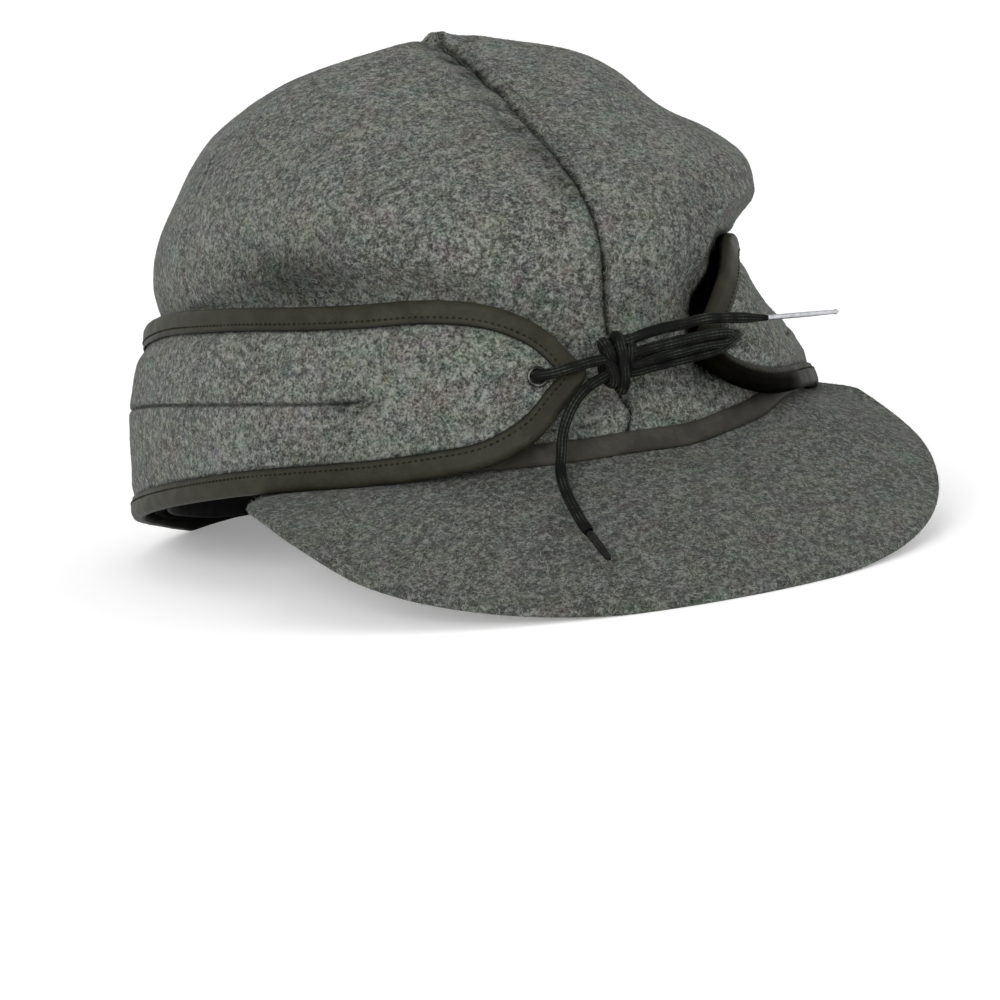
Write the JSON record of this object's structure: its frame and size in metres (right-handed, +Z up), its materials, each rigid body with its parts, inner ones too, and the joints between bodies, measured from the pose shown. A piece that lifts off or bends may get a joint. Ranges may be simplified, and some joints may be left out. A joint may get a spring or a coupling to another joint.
{
  "type": "wool earflap cap",
  "caption": "Soft wool cap with a short padded peak and a taped outer ear band that folds down over the ears, tied up at the front with a black lace.",
  "frame": {"origin": "on the table under the middle of the cap's box, measured without the laces", "axes": "+Z up from the table the cap rests on, -Y towards the peak, -X towards the wearer's right"},
  "size_m": [0.1902, 0.2694, 0.1414],
  "materials": {
    "crown_wool": "thick felted wool, grey with light and dark fibres",
    "band_wool": "thick felted wool, grey with light and dark fibres",
    "visor_wool": "thick felted wool over a padded peak",
    "binding_tape": "folded black satin tape, stitched",
    "seam_tape": "black satin tape",
    "sweatband_cloth": "black woven cloth",
    "lace": "round braided black lace",
    "eyelet_metal": "dark rolled metal with a bright worn rim",
    "bright_tip": "bright rolled metal",
    "dark_tip": "dark plastic film"
  },
  "bodies": {
    "root": {"crown_front_right": "crown_wool", "crown_front_left": "crown_wool", "crown_back_left": "crown_wool", "crown_back_right": "crown_wool", "visor": "visor_wool", "visor_tape": "seam_tape", "sweatband": "sweatband_cloth", "ear_band": "band_wool", "ear_band_binding": "binding_tape", "eyelet_right": "eyelet_metal", "eyelet_left": "eyelet_metal", "lace_stop_right": "lace", "lace_stop_left": "lace", "lace_tie_right": "lace", "lace_tie_left": "lace", "lace_knot": "lace", "lace_bow": "lace", "lace_end_left": "lace", "lace_end_right": "lace", "aglet_silver": "bright_tip", "aglet_dark": "dark_tip"}
  },
  "joints": []
}
